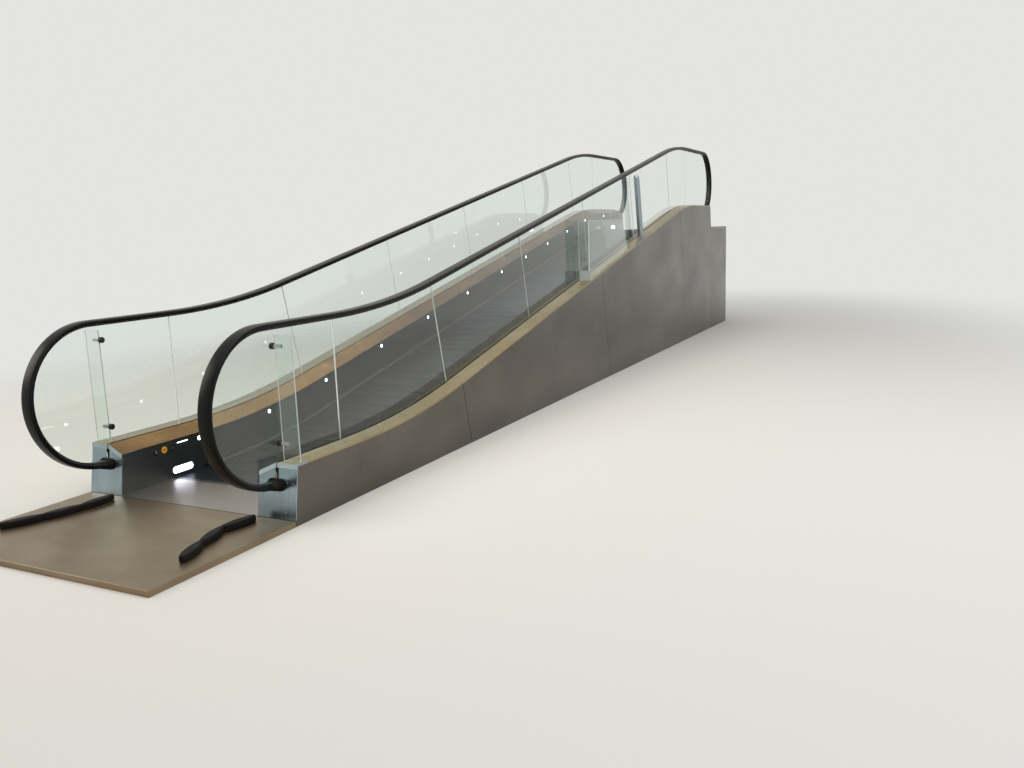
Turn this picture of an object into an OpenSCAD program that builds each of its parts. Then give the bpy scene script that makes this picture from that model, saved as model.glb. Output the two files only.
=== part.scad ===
// Inclined moving walk with a glass balustrade, size in mm, +Z up.
// The walk rises along +Y, +X is to the right of a rider who goes up, and z = 0 is the ground.

/* [Travel] */
// height that the walk climbs from one landing to the other
rise = 1350; // [900:10:2400]
// slope of the inclined part, in degrees
incline = 12; // [8:0.5:12]
// level length from the newel centre to the point where the slope lines meet
level_len = 1200; // [1000:10:1600]
// radius of the pallet line in the lower curve
curve_lo_r = 6000; // [4500:50:6500]
// radius of the pallet line in the upper curve
curve_hi_r = 3000; // [2600:50:4000]

/* [Pallets] */
// width of a pallet
pallet_w = 1000; // [800:10:1200]
// length of a pallet along the travel, before it is fitted to the band
pallet_pitch = 133; // [120:1:200]
// thickness of a pallet
pallet_t = 24; // [20:1:28]
// gap between two pallets
pallet_gap = 4; // [3:0.5:5]
// distance from one cleat to the next
cleat_pitch = 9; // [8:0.5:12]
// width of a cleat
cleat_w = 4; // [2.5:0.25:5]
// depth of the grooves between the cleats
groove_d = 11; // [10:0.5:13]
// pallets at each comb that are cut with grooves
grooved_rows = 2; // [1:1:3]

/* [Landings] */
// depth of the floor plates, from the ground to the walking surface
floor_t = 30; // [30:1:60]
// length of a floor plate in front of the newel centre
plate_len = 925; // [600:5:1400]
// length of the comb plate behind the newel centre, teeth included
comb_len = 450; // [380:5:550]
// length of the comb teeth
tooth_len = 70; // [50:1:90]
// width of a comb tooth
tooth_w = 2.4; // [2:0.1:3]
// depth to which the teeth dip into the grooves
tooth_dip = 6; // [4:0.5:8]
// joint between two plates
plate_joint = 0.8; // [0.4:0.1:3]
// distance from one rib of the floor plates to the next
rib_pitch = 13; // [9:0.5:20]
// height of the ribs
rib_h = 1; // [0.5:0.1:2]
// parts that the comb's edge is made of
comb_parts = 5; // [4:1:8]
// depth and width of the grooves between the parts of the comb
comb_seam = 1; // [0.5:0.1:2]

/* [Balustrade] */
// gap between the pallets and the skirt
skirt_gap = 4; // [2:0.5:4]
// thickness of the skirt sheet
skirt_t = 5; // [3:0.5:8]
// height of the lower edge of the inner deck above the pallets
deck_lo_h = 235; // [200:5:300]
// height of the upper edge of the inner deck above the pallets
deck_hi_h = 285; // [270:5:340]
// thickness of the deck sheets
deck_t = 4; // [3:0.5:6]
// width of the balustrade base, from the skirt to the outside
base_w = 250; // [220:5:320]
// thickness of the balustrade base's front sheets
front_t = 6; // [4:0.5:10]
// slope of the balustrade base's front away from the rider, in degrees
front_lean = 9; // [0:0.5:15]
// length of the cap that ends the decks
cap_len = 130; // [80:5:200]
// height of the cap's front edge
cap_edge = 25; // [15:1:40]
// distance that the cap's front edge stands out from the front sheet
cap_proud = 4; // [2:0.5:8]
// distance from the skirt to the middle of the glass
glass_off = 118; // [105:1:150]
// thickness of the glass
glass_t = 10; // [8:0.5:12]
// gap between two glass panes
glass_gap = 5; // [3:0.5:8]
// hairline joint between two lengths of skirt, deck or guide
run_joint = 0.6; // [0.3:0.1:2]
// depth of the glass in its clamp
glass_seat = 45; // [30:1:60]

/* [Handrail] */
// height of the handrail above the pallets
rail_h = 1000; // [950:5:1100]
// outer radius of the handrail round the newel
newel_r = 420; // [330:1:425]
// width of the handrail
rail_w = 80; // [70:1:90]
// depth of the handrail
rail_d = 28; // [24:1:34]
// thickness of the handrail's back
rail_back = 10; // [8:0.5:12]
// width of the gap between the handrail's lips
rail_mouth = 42; // [38:1:46]
// thickness of the handrail's lips
rail_lip = 9; // [7:0.5:10]
// radius of the handrail's outer corners
rail_round = 12; // [8:0.5:13]
// running clearance inside the handrail
rail_clear = 0.4; // [0.3:0.05:1]
// depth of the handrail guide below the handrail's lips
guide_drop = 8; // [4:1:20]
// width of the rubber flange around the handrail where it enters the base
collar_t = 18; // [17:1:26]
// thickness of the flange in front of the base
collar_lip = 14; // [8:1:20]
// distance from the flange to the seam in the front sheet
seam_gap = 25; // [5:1:30]
// length of each of the two sleeves in front of the flange
collar_step = 23; // [15:1:30]

/* [Cladding] */
// thickness of the side panels
clad_t = 12; // [6:1:20]
// longest side panel
clad_max = 2900; // [2000:50:3500]
// joint between two side panels
clad_gap = 4; // [3:0.5:8]
// height of the open joint under the outer deck
clad_drop = 8; // [4:1:20]

/* [Lights and brushes] */
// distance from one skirt light to the next on the four lengths of skirt, from the lower end
light_pitches = [660, 765, 612, 670]; // [400:5:900]
// diameter of a skirt light
light_d = 30; // [20:1:40]
// height of the skirt lights above the pallets
light_h = 198; // [150:1:215]
// length of the oval comb light
comb_light_l = 180; // [120:5:220]
// height of the oval comb light
comb_light_h = 46; // [30:1:60]
// height of the middle of the comb light above the pallets
comb_light_z = 45; // [35:1:90]
// length of the thin light bar under the deck at the lower landing
bar_light_l = 94; // [60:1:120]
// diameter of the switches on the skirt
switch_d = 40; // [30:1:45]
// distance of the first switch in front of the comb
switch_lead = 56; // [30:1:90]
// distance from one switch to the next
switch_pitch = 62; // [56:1:80]
// height of the switches above the pallets
switch_h = 188; // [140:1:200]
// height of the brush carrier above the pallets
brush_h = 26; // [22:1:40]
// reach of the brush bristles over the pallets
brush_reach = 22; // [12:1:30]

/* [Guides and barriers] */
// length of one lobe of the floor guides
lobe_len = 205; // [150:5:260]
// width of one lobe of the floor guides
lobe_w = 62; // [45:1:80]
// width of a lobe at its ends
lobe_end_w = 28; // [20:1:40]
// notch between two lobes
lobe_gap = 8; // [7:0.5:12]
// height of the floor guides
lobe_h = 42; // [30:1:60]
// distance of the floor guides in front of the newel centre
guide_y = 92; // [20:2:150]
// places of the guides to the outside of the skirt, right and left
guide_x = [62, -66]; // [-80:2:90]
// angles of the right guide's lobes away from the travel, in degrees
right_turns = [-9, 17, 20]; // [-30:1:45]
// angles of the left guide's lobes away from the travel, in degrees
left_turns = [3, 3, 26]; // [-30:1:45]
// gap between the barrier panes and the handrail guide's height above them
barrier_gap = 29; // [15:1:250]
// distance of the barrier panes behind the newel centre
barrier_y = 80; // [60:5:200]
// thickness of the barrier panes
pane_t = 8; // [6:0.5:10]
// height of the lower clips above the outer deck
clip_h = 93; // [50:1:150]
// diameter of the discs that hold the barrier panes to the glass
disc_d = 34; // [24:1:45]
// length of the panel that stops climbing along the outer deck
climb_len = 1080; // [800:10:1500]
// height of the panel that stops climbing, at its lower end
climb_h = 540; // [400:10:580]
// height of the shoe of the pane across the outer deck
shoe_h = 90; // [50:5:120]
// thickness of the shoe at each side of its pane
shoe_t = 10; // [6:0.5:16]
// distance of the stop post behind the climb panel
post_gap = 650; // [300:10:900]
// height of the stop post on the outer deck
post_h = 660; // [500:10:700]
// diameter of the stop post
post_d = 60; // [40:1:70]

/* [Hidden] */
run = rise / tan(incline);
tan_lo = curve_lo_r * tan(incline / 2);
tan_hi = curve_hi_r * tan(incline / 2);
kink_lo = -run / 2;
kink_hi = run / 2;
// places where level pieces meet are whole hundredths, so that they meet exactly
function mm(v) = round(v * 100) / 100;
start_y = mm(kink_lo - tan_lo);
stop_y = mm(kink_hi + tan_hi);
// the newel centres, which are also the feet of the base fronts
front_lo = mm(kink_lo - level_len);
front_hi = mm(kink_hi + level_len);
end_lo = front_lo - plate_len;
end_hi = front_hi + plate_len;
// stations along the pallet line, counted from the start of the lower curve
s1 = curve_lo_r * incline * PI / 180;
s2 = s1 + run / cos(incline) - tan_lo - tan_hi;
s3 = s2 + curve_hi_r * incline * PI / 180;
s_front_lo = front_lo - start_y;
s_front_hi = s3 + front_hi - stop_y;
s_end_lo = end_lo - start_y;
s_end_hi = s3 + end_hi - stop_y;
// the bed under the pallets, and the seats on it
bed = pallet_t + 0.5;
skirt_x = pallet_w / 2 + skirt_gap;
half_w = skirt_x + base_w;
rail_x = skirt_x + glass_off;
seal = 3;
glass_in = rail_x - glass_t / 2;
glass_out = rail_x + glass_t / 2;
rail_lo_h = rail_h - 2 * newel_r;
inlet_h = rail_lo_h + rail_d / 2;
newel_h = rail_h - newel_r;
collar_w = rail_w + 2 * collar_t;
collar_h = rail_d + 2 * collar_t;
sleeve_w = collar_w - collar_t;
sleeve_h = collar_h - collar_t;
seam_x = rail_x + collar_w / 2 + seam_gap;
glass_top = rail_h - rail_d - guide_drop + 12;
glass_r = newel_r - rail_d - guide_drop + 12;
glass_foot = deck_hi_h - glass_seat;
barrier_h = rail_h - rail_d - guide_drop - deck_hi_h - barrier_gap;
clad_x = half_w - clad_t;
clad_top = deck_hi_h - deck_t - clad_drop;
$fn = 96;

// height, place and slope of the pallet line at a station
function arc_lo(s) = s * 180 / (PI * curve_lo_r);
function arc_hi(s) = (s - s2) * 180 / (PI * curve_hi_r);
function path_a(s) = s <= 0 ? 0 : s < s1 ? arc_lo(s) : s <= s2 ? incline : s < s3 ? incline - arc_hi(s) : 0;
function path_y(s) =
    s <= 0 ? start_y + s :
    s < s1 ? start_y + curve_lo_r * sin(arc_lo(s)) :
    s <= s2 ? kink_lo + (tan_lo + s - s1) * cos(incline) :
    s < s3 ? stop_y - curve_hi_r * sin(incline - arc_hi(s)) :
    stop_y + s - s3;
function path_z(s) = floor_t + (
    s <= 0 ? 0 :
    s < s1 ? curve_lo_r * (1 - cos(arc_lo(s))) :
    s <= s2 ? (tan_lo + s - s1) * sin(incline) :
    s < s3 ? rise - curve_hi_r * (1 - cos(incline - arc_hi(s))) :
    rise);

// place of the base's front behind its foot, at a height above the floor
function front_y(h) = h * tan(front_lean);

// puts its children on the pallet line, with y along the line and z square to it
module at(s) {
    translate([0, path_y(s), path_z(s)])
        rotate([path_a(s), 0, 0])
            children();
}

module straight(length) {
    translate([0, length, 0])
        rotate([90, 0, 0])
            linear_extrude(height = length)
                children();
}

module bend_up(r, angle) {
    translate([0, 0, r])
        rotate([0, 90, 0])
            rotate_extrude(angle = angle, $fn = 720)
                translate([r, 0])
                    rotate(90)
                        children();
}

module bend_down(r, angle) {
    translate([0, 0, -r])
        rotate([0, -90, 0])
            rotate_extrude(angle = angle, $fn = 720)
                translate([r, 0])
                    rotate(-90)
                        children();
}

// carries a flat section, x across and y up from the pallets, along the line from station a to b,
// in lengths that meet with a hairline joint at the ends of the curves
module along(a, b) {
    g = run_joint / 2;
    if (a < 0)
        at(min(b, 0))
            translate([0, a - min(b, 0), 0])
                straight(min(b, 0) - a - (b > 0 ? g : 0))
                    children();
    if (a < s1 && b > 0)
        at(max(a, 0))
            bend_up(curve_lo_r, arc_lo(min(b, s1) - max(a, 0)))
                children();
    if (a < s2 && b > s1)
        at(max(a, s1 + g))
            straight(min(b, s2 - g) - max(a, s1 + g))
                children();
    if (a < s3 && b > s2)
        at(min(b, s3))
            mirror([0, 1, 0])
                bend_down(curve_hi_r, (min(b, s3) - max(a, s2)) * 180 / (PI * curve_hi_r))
                    children();
    if (b > s3)
        at(max(a, s3 + g))
            straight(b - max(a, s3 + g))
                children();
}

// all the space in front of the leaning base fronts and above the floor plates' undersides, set back by d
module before_fronts(d) {
    before_front(d, -2 * rise);
    translate([0, 0, rise])
        mirror([0, 1, 0])
            before_front(d, 0);
}

module before_front(d, low) {
    back = -front_hi + d / cos(front_lean);
    top = 3000;
    rotate([90, 0, 90])
        translate([0, 0, -2 * half_w])
            linear_extrude(height = 4 * half_w)
                polygon([
                    [back + (low - floor_t) * tan(front_lean), low],
                    [back + (top - floor_t) * tan(front_lean), top],
                    [back - 3000, top],
                    [back - 3000, low]
                ]);
}

module box2(x0, x1, y0, y1) {
    translate([x0, y0])
        square([x1 - x0, y1 - y0]);
}

module mirror_x(side) {
    if (side < 0)
        mirror([1, 0, 0])
            children();
    else
        children();
}

// the closed body of the truss: the bed of the pallets, the ledges of the balustrades and the upper landing
module truss_housing() {
    deep = -rise - 200;
    tips = comb_len - tooth_len + 5;
    color("dimgray")
        intersection() {
            union() {
                along(s_front_lo + tips, s_front_hi - tips)
                    box2(-skirt_x, skirt_x, deep, -bed);
                for (side = [-1, 1])
                    mirror_x(side)
                        along(s_front_lo + 20, s_front_hi - 20)
                            box2(skirt_x, clad_x, deep, -bed);
                translate([-skirt_x, path_y(s_front_hi - tips), 0])
                    cube([2 * skirt_x, tips + plate_len - clad_t, rise]);
                translate([-clad_x, front_hi - 20, 0])
                    cube([2 * clad_x, 20 + plate_len - clad_t, rise]);
            }
            translate([-2000, end_lo, 0])
                cube([4000, end_hi - end_lo, 4000]);
        }
}

module pallet(length, grooved) {
    top = grooved ? -groove_d : 0;
    translate([-pallet_w / 2, 0, -pallet_t])
        cube([pallet_w, length, pallet_t + top]);
    if (grooved)
        straight(length)
            cleats();
}

module cleats() {
    n = floor((pallet_w - cleat_w) / cleat_pitch);
    for (i = [0 : n])
        translate([(i - n / 2) * cleat_pitch - cleat_w / 2, -groove_d])
            square([cleat_w, groove_d]);
}

module pallets() {
    first = s_front_lo + comb_len - tooth_len + 5;
    last = s_front_hi - comb_len + tooth_len - 5;
    count = round((last - first) / pallet_pitch);
    pitch = (last - first) / count;
    color("slategray")
        for (i = [0 : count - 1])
            at(first + (i + 0.5) * pitch)
                translate([0, -(pitch - pallet_gap) / 2, 0])
                    pallet(pitch - pallet_gap, i < grooved_rows || i >= count - grooved_rows);
}

// one landing plate with ribs across the travel, from its free end to the newel centre
module floor_plate() {
    length = plate_len - plate_joint;
    n = floor((length - rib_pitch) / rib_pitch);
    first = (length - n * rib_pitch) / 2;
    land = rib_pitch * 0.3;
    groove = rib_pitch * 0.2;
    translate([-half_w, 0, 0])
        rotate([90, 0, 90])
            linear_extrude(height = 2 * half_w)
                polygon(concat(
                    [[0, 0], [0, floor_t]],
                    [
                        for (i = [0 : n - 1])
                            for (p = [[-land, 0], [-groove, -rib_h], [groove, -rib_h], [land, 0]])
                                [first + (i + 0.5) * rib_pitch + p[0], floor_t + p[1]]
                    ],
                    [[length, floor_t], [length, 0]]
                ));
}

module lower_floor_plate() {
    color("tan")
        translate([0, end_lo, 0])
            floor_plate();
}

module upper_floor_plate() {
    color("tan")
        translate([0, end_hi, rise])
            mirror([0, 1, 0])
                floor_plate();
}

// comb plate with its teeth, from the newel centre towards the pallets
module comb_plate() {
    n = floor((pallet_w - cleat_w) / cleat_pitch);
    root = comb_len - tooth_len;
    part_w = 2 * skirt_x / comb_parts;
    difference() {
        translate([-skirt_x, 0, 0])
            cube([2 * skirt_x, root, floor_t]);
        translate([-skirt_x - 1, root - tooth_len - comb_seam, floor_t - comb_seam])
            cube([2 * skirt_x + 2, comb_seam, 2 * comb_seam]);
        for (i = [1 : comb_parts - 1])
            translate([-skirt_x + i * part_w - comb_seam / 2, root - tooth_len - comb_seam / 2, floor_t - comb_seam])
                cube([comb_seam, tooth_len + comb_seam, 2 * comb_seam]);
    }
    intersection() {
        translate([0, 0, floor_t - tooth_dip])
            linear_extrude(height = tooth_dip + 1)
                for (i = [0 : n - 1])
                    translate([(i - (n - 1) / 2) * cleat_pitch - tooth_w / 2, root - 1])
                        square([tooth_w, tooth_len + 1]);
        rotate([90, 0, 90])
            translate([0, 0, -skirt_x])
                linear_extrude(height = 2 * skirt_x)
                    polygon([
                        [root, floor_t - tooth_dip],
                        [root, floor_t],
                        [root + tooth_len * 0.4, floor_t],
                        [comb_len, floor_t - tooth_dip + 1],
                        [comb_len, floor_t - tooth_dip]
                    ]);
    }
}

module lower_comb_plate() {
    color("silver")
        translate([0, front_lo, 0])
            comb_plate();
}

module upper_comb_plate() {
    color("silver")
        translate([0, front_hi, rise])
            mirror([0, 1, 0])
                comb_plate();
}

module skirt(side) {
    color("gray")
        mirror_x(side)
            difference() {
                along(s_front_lo - 60, s_front_hi + 60)
                    box2(skirt_x, skirt_x + skirt_t, -bed, deck_lo_h - deck_t);
                before_fronts(front_t);
            }
}

module skirt_brush(side) {
    color("black")
        mirror_x(side)
            along(s_front_lo + comb_len + 185, s_front_hi - comb_len - 185)
                polygon([
                    [skirt_x, brush_h],
                    [skirt_x - 8, brush_h + 4],
                    [skirt_x - 8, brush_h],
                    [skirt_x - brush_reach, 6],
                    [skirt_x - brush_reach + 4, 4],
                    [skirt_x - 4, 12],
                    [skirt_x, 12]
                ]);
}

module inner_deck(side) {
    color("silver")
        mirror_x(side)
            along(s_front_lo + cap_len + run_joint, s_front_hi - cap_len - run_joint)
                polygon([
                    [skirt_x, deck_lo_h - deck_t],
                    [skirt_x, deck_lo_h],
                    [glass_in - seal, deck_hi_h],
                    [glass_in - seal, deck_hi_h - deck_t],
                    [skirt_x + skirt_t, deck_lo_h - deck_t]
                ]);
}

module outer_deck(side) {
    color("lightgray")
        mirror_x(side)
            along(s_front_lo + cap_len + run_joint, s_front_hi - cap_len - run_joint)
                polygon([
                    [glass_out + seal, deck_hi_h - deck_t],
                    [glass_out + seal, deck_hi_h],
                    [half_w, deck_hi_h],
                    [half_w, clad_top],
                    [half_w - deck_t, clad_top],
                    [half_w - deck_t, deck_hi_h - deck_t]
                ]);
}

module clamp_section() {
    leg = 5;
    w = rail_w / 2 + 9;
    floor_h = glass_foot - 6;
    box2(rail_x - w - leg, rail_x - w, -bed, floor_h);
    box2(rail_x + w, rail_x + w + leg, -bed, floor_h);
    box2(rail_x - w - leg, rail_x + w + leg, floor_h, glass_foot);
    box2(glass_in - seal - 6, glass_in - 0.3, glass_foot, deck_hi_h - deck_t - 6);
    box2(glass_out + 0.3, glass_out + seal + 6, glass_foot, deck_hi_h - deck_t - 6);
}

module glass_clamp(side) {
    color("darkgray")
        mirror_x(side)
            difference() {
                along(s_front_lo - 60, s_front_hi + 60)
                    clamp_section();
                before_fronts(front_t + 0.3);
            }
}

// round end of the glass, seen from the side, with y towards the incline
module newel_outline(r) {
    intersection() {
        translate([0, newel_h])
            circle(r = r, $fn = 180);
        box2(-r - 1, 0, newel_h - r - 1, newel_h + r + 1);
    }
}

module glass(side) {
    cuts = [s_front_lo + 30, 0, s1, s1 + (s2 - s1) / 4, s1 + (s2 - s1) / 2, s1 + (s2 - s1) * 3 / 4, s2, s3];
    color("aquamarine", 0.5)
        mirror_x(side)
            union() {
                for (i = [0 : 6])
                    along(cuts[i] + (i > 0 ? glass_gap / 2 : 0), cuts[i + 1] - glass_gap / 2)
                        box2(glass_in, glass_out, glass_foot, glass_top);
                along(s3 + glass_gap / 2, s_front_hi - 30)
                    box2(glass_in, glass_out, glass_foot, glass_top);
                newel_glass(front_lo, 0, 1);
                newel_glass(front_hi, rise, -1);
            }
}

module newel_glass(y, z, dir) {
    translate([glass_in, y, z + floor_t])
        mirror([0, dir < 0 ? 1 : 0, 0])
            rotate([90, 0, 90])
                linear_extrude(height = glass_t) {
                    newel_outline(glass_r);
                    box2(0, 30, newel_h - glass_r, glass_top);
                }
}

// the handrail's section, with its outer face on the x axis
module rail_section() {
    difference() {
        union() {
            box2(-rail_w / 2 + rail_round, rail_w / 2 - rail_round, -rail_d, 0);
            box2(-rail_w / 2, rail_w / 2, -rail_d + rail_round, -rail_round);
            for (x = [-1, 1])
                for (y = [-rail_round, -rail_d + rail_round])
                    translate([x * (rail_w / 2 - rail_round), y])
                        circle(r = rail_round, $fn = 48);
        }
        box2(-rail_w / 2 + rail_lip, rail_w / 2 - rail_lip, -rail_d + rail_lip, -rail_back);
        box2(-rail_mouth / 2, rail_mouth / 2, -rail_d - 1, -rail_back);
    }
}

// the guide's section, which fills the handrail and grips the glass
module guide_section() {
    head = rail_w / 2 - rail_lip - rail_clear;
    neck = rail_mouth / 2 - rail_clear;
    difference() {
        union() {
            box2(-head, head, -rail_d + rail_lip + rail_clear, -rail_back - rail_clear);
            box2(-neck, neck, -rail_d - guide_drop, -rail_back - rail_clear - 1);
        }
        box2(-glass_t / 2 - 0.3, glass_t / 2 + 0.3, -rail_d - guide_drop - 1, -rail_d - guide_drop + 12.3);
    }
}

// half a turn round the newel of a section whose outer face lies on the x axis
module newel_turn(r, up) {
    y = up ? front_hi : front_lo;
    z = floor_t + newel_h + (up ? rise : 0);
    translate([0, y, z])
        rotate([0, 0, up ? 0 : 180])
            rotate([0, -90, 0])
                rotate_extrude(angle = 180, $fn = 180)
                    translate([r, 0])
                        rotate(-90)
                            children();
}

module handrail(side) {
    color("#262322")
        translate([side * rail_x, 0, 0])
            union() {
                along(s_front_lo, s_front_hi)
                    translate([0, rail_h])
                        rail_section();
                along(s_front_lo, s_front_hi)
                    translate([0, rail_lo_h])
                        mirror([0, 1])
                            rail_section();
                newel_turn(newel_r, false)
                    rail_section();
                newel_turn(newel_r, true)
                    rail_section();
            }
}

module handrail_guide(side) {
    color("lightsteelblue")
        translate([side * rail_x, 0, 0])
            union() {
                along(s_front_lo, s_front_hi)
                    translate([0, rail_h])
                        guide_section();
                newel_turn(newel_r, false)
                    guide_section();
                newel_turn(newel_r, true)
                    guide_section();
            }
}

// the section of the whole balustrade base, down to a height below its deck
module base_section(low) {
    polygon([
        [skirt_x, low],
        [skirt_x, deck_lo_h],
        [glass_in - seal, deck_hi_h],
        [half_w, deck_hi_h],
        [half_w, low]
    ]);
}

// the space under the caps, which is open towards the skirt and the side panels
module base_hollow() {
    polygon([
        [skirt_x - 1, -floor_t],
        [skirt_x - 1, deck_lo_h - deck_t],
        [skirt_x + skirt_t, deck_lo_h - deck_t],
        [glass_in - seal, deck_hi_h - deck_t],
        [half_w - deck_t, deck_hi_h - deck_t],
        [half_w - deck_t, clad_top],
        [half_w + 1, clad_top],
        [half_w + 1, -floor_t]
    ]);
}

// a slab parallel to the base's front, from depth d0 to d1 behind it
module lean_slab(d0, d1) {
    rotate([-front_lean, 0, 0])
        translate([0, d0, -200])
            cube([2 * half_w, d1 - d0, 1200]);
}

module stadium(w, h) {
    square([w - h, h], center = true);
    for (x = [-1, 1])
        translate([x * (w - h) / 2, 0])
            circle(d = h);
}

// what a stadium cuts along the travel at the handrail's inlet
module inlet_cut(w, h, y0, y1) {
    translate([rail_x, y1, inlet_h])
        rotate([90, 0, 0])
            linear_extrude(height = y1 - y0)
                stadium(w, h);
}

// front sheet in two parts with the cap that ends the decks, above the floor
module newel_base(up, side) {
    color("lightblue")
        mirror_x(side)
            translate([0, up ? front_hi : front_lo, floor_t + (up ? rise : 0)])
                mirror([0, up ? 1 : 0, 0])
                    difference() {
                        intersection() {
                            translate([0, -10, 0])
                                straight(cap_len + 10)
                                    base_section(0);
                            lean_slab(-cap_proud, 400);
                        }
                        intersection() {
                            translate([0, -20, 0])
                                straight(cap_len + 40)
                                    base_hollow();
                            lean_slab(front_t, 500);
                        }
                        intersection() {
                            translate([0, -20, 0])
                                straight(200)
                                    translate([0, -cap_edge])
                                        base_section(-100);
                            lean_slab(-100, 0);
                        }
                        inlet_cut(sleeve_w + 0.6, sleeve_h + 0.6, -50, 200);
                        translate([glass_in - 0.5, -50, inlet_h])
                            cube([glass_t + 1, 400, 600]);
                        translate([glass_in - seal, front_t / cos(front_lean) + front_y(deck_hi_h), deck_lo_h - 50])
                            cube([glass_t + 2 * seal, 400, 200]);
                        translate([seam_x, -50, -1])
                            cube([1, 200, deck_hi_h - cap_edge]);
                    }
}

// flange on the front sheet and two sleeves that narrow towards the handrail
module inlet_collar(up, side) {
    face = front_y(inlet_h);
    color("black")
        mirror_x(side)
            translate([0, up ? front_hi : front_lo, floor_t + (up ? rise : 0)])
                mirror([0, up ? 1 : 0, 0])
                    difference() {
                        union() {
                            intersection() {
                                inlet_cut(collar_w, collar_h, -200, 200);
                                lean_slab(-collar_lip, -0.3);
                            }
                            intersection() {
                                inlet_cut(sleeve_w, sleeve_h, face - collar_lip - collar_step, 200);
                                lean_slab(-200, front_t);
                            }
                            inlet_cut(
                                sleeve_w - collar_t / 2, sleeve_h - collar_t / 2,
                                face - collar_lip - 2 * collar_step, face
                            );
                        }
                        translate([rail_x - rail_w / 2 - 1, -200, rail_lo_h - 1])
                            cube([rail_w + 2, 400, rail_d + 2]);
                        translate([rail_x - rail_mouth / 2, -200, inlet_h])
                            cube([rail_mouth, 400, rail_d / 2 + guide_drop + 1]);
                        translate([glass_in - 0.5, -200, inlet_h])
                            cube([glass_t + 1, 400, 100]);
                    }
}

// side panels from the outer deck down to the ground, with their joints square to the travel
module cladding(side) {
    n = ceil((s2 - s1) / clad_max);
    cuts = concat(
        [s_front_lo - 60],
        [for (i = [0 : n]) s1 + (s2 - s1) * i / n],
        [s_front_hi + 60]
    );
    last = len(cuts) - 2;
    g = clad_gap / 2;
    color("darkslategray")
        mirror_x(side) {
            for (i = [0 : last])
                intersection() {
                    difference() {
                        along(cuts[i] + g, cuts[i + 1] - g)
                            box2(clad_x, half_w, -rise - 200, clad_top);
                        if (i == 0 || i == last)
                            before_fronts(front_t);
                    }
                    translate([0, end_lo, 0])
                        cube([1000, end_hi - end_lo, 4000]);
                }
            translate([clad_x, front_hi + 60 + g, 0])
                cube([clad_t, plate_len - 60 - g, rise]);
        }
}

module upper_end_wall() {
    color("darkslategray")
        translate([-clad_x, end_hi - clad_t, 0])
            cube([2 * clad_x, clad_t, rise]);
}

// the spots are evenly spaced on each of four lengths of skirt
module skirt_lights(side) {
    marks = [
        s_front_lo + comb_len + 160, s1 + 113,
        (s1 + s2) / 2 + 388, s2 + 63,
        s_front_hi - comb_len - 360
    ];
    color("white")
        mirror_x(side) {
            for (k = [0 : 3]) {
                n = round((marks[k + 1] - marks[k]) / light_pitches[k]);
                for (i = [0 : n - 1])
                    at(marks[k] + (marks[k + 1] - marks[k]) * i / n)
                        skirt_light();
            }
            at(marks[4])
                skirt_light();
            comb_light(s_front_lo + comb_len + 10);
            comb_light(s_front_hi - comb_len - 10);
            at(s_front_lo + comb_len - bar_light_l / 4)
                translate([skirt_x - 2, 0, light_h + 7])
                    cube([2, bar_light_l, 6]);
        }
}

module skirt_light() {
    translate([skirt_x - 2, 0, light_h])
        rotate([0, 90, 0])
            cylinder(h = 2, d = light_d);
}

// three round switches on each skirt at both landings
module skirt_switches() {
    color("#1c1c1c")
        for (side = [-1, 1])
            mirror_x(side)
                for (i = [0 : 2]) {
                    at(s_front_lo + comb_len - switch_lead - i * switch_pitch)
                        switch_disc();
                    at(s_front_hi - comb_len + switch_lead + i * switch_pitch)
                        switch_disc();
                }
}

module switch_disc() {
    translate([skirt_x - 3, 0, switch_h])
        rotate([0, 90, 0])
            difference() {
                cylinder(h = 3, d = switch_d);
                translate([0, 0, -1])
                    cylinder(h = 2, d = switch_d * 0.55);
            }
}

module comb_light(s) {
    straight_l = comb_light_l - comb_light_h;
    at(s)
        translate([skirt_x - 3, 0, comb_light_z])
            rotate([90, 0, 90])
                linear_extrude(height = 3) {
                    square([straight_l, comb_light_h], center = true);
                    for (d = [-1, 1])
                        translate([d * straight_l / 2, 0])
                            circle(d = comb_light_h);
                }
}

// one lobe of a floor guide, lying along y from its start
module lobe() {
    sag = (lobe_w - lobe_end_w) / 2;
    r = (lobe_len * lobe_len / 4 + sag * sag) / (2 * sag);
    linear_extrude(height = lobe_h)
        intersection() {
            translate([lobe_w / 2 - r, lobe_len / 2])
                circle(r = r, $fn = 360);
            translate([r - lobe_w / 2, lobe_len / 2])
                circle(r = r, $fn = 360);
            translate([-lobe_w, 0])
                square([2 * lobe_w, lobe_len]);
        }
}

// the lobes lie end to end, and the last one bends away from the way in
module floor_guides(side) {
    step = lobe_len + lobe_gap;
    turns = side > 0 ? right_turns : left_turns;
    start = skirt_x + (side > 0 ? guide_x[0] : guide_x[1]);
    color("#2b2b2b")
        mirror_x(side)
            translate([start, front_lo - guide_y, floor_t])
                for (i = [0 : 2])
                    translate([
                        step * ((i > 0 ? sin(turns[0]) : 0) + (i > 1 ? sin(turns[1]) : 0)),
                        -step * ((i > 0 ? cos(turns[0]) : 0) + (i > 1 ? cos(turns[1]) : 0)),
                        0
                    ])
                        rotate([0, 0, 180 + turns[i]])
                            lobe();
}

// pane across the outer deck behind the lower newel
module barrier_glass(side) {
    color("aquamarine", 0.5)
        mirror_x(side)
            at(s_front_lo + barrier_y)
                translate([glass_out + 15, -pane_t / 2, deck_hi_h + 0.3])
                    cube([half_w - glass_out - 20, pane_t, barrier_h]);
}

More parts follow.
